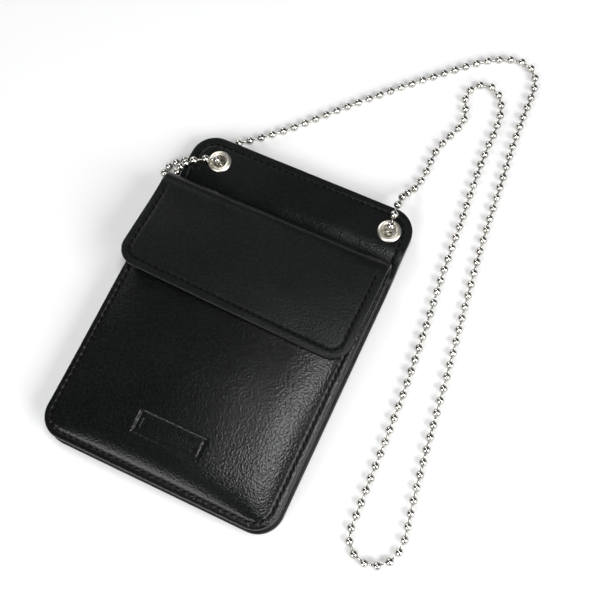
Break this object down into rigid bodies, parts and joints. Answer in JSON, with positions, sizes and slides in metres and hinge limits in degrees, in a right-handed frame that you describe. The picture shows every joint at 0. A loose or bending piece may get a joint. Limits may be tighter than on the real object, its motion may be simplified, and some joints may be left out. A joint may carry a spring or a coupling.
{
  "type": "neck pouch wallet",
  "caption": "Stitched black leather neck pouch with a fold-over flap, two nickel eyelets and a ball chain worn round the neck, lying on its back.",
  "frame": {"origin": "middle of the pouch's outline, on its flat back face; the ball chain is left out of this", "axes": "+X across the pouch, +Y up the pouch towards the eyelets, +Z away from the back panel, out of the flap's face"},
  "size_m": [0.1495, 0.2207, 0.0164],
  "materials": {
    "black_leather": "fine pebble grain, semi-gloss, painted black cut edges",
    "black_lining": "smooth black lining",
    "stiffener": "bonded fibre board, unpainted",
    "black_thread": "black waxed sewing thread",
    "magnet_steel": "zinc plated, satin",
    "nickel": "bright nickel plate"
  },
  "bodies": {
    "pouch": {"back_leather": "black_leather", "panel_board": "stiffener", "panel_leather": "black_leather", "tab_thread": "black_thread", "pocket_gusset": "black_leather", "pocket_lining": "black_lining", "pocket_front": "black_leather", "pocket_thread": "black_thread", "pocket_magnet": "magnet_steel", "flap_root": "black_leather", "eyelet_left": "nickel", "eyelet_right": "nickel", "eyelet_washer_left": "nickel", "eyelet_washer_right": "nickel", "neck_chain": "nickel", "chain_connector": "nickel"},
    "flap": {"flap_leather": "black_leather", "flap_lining": "black_lining", "flap_magnet": "magnet_steel", "flap_thread": "black_thread"}
  },
  "joints": [
    {"name": "flap_fold", "type": "hinge", "parent": "pouch", "child": "flap", "pos_m": [0, 0.0375, 0.0156], "axis": [-1, 0, 0], "range_deg": [0, 170]}
  ]
}
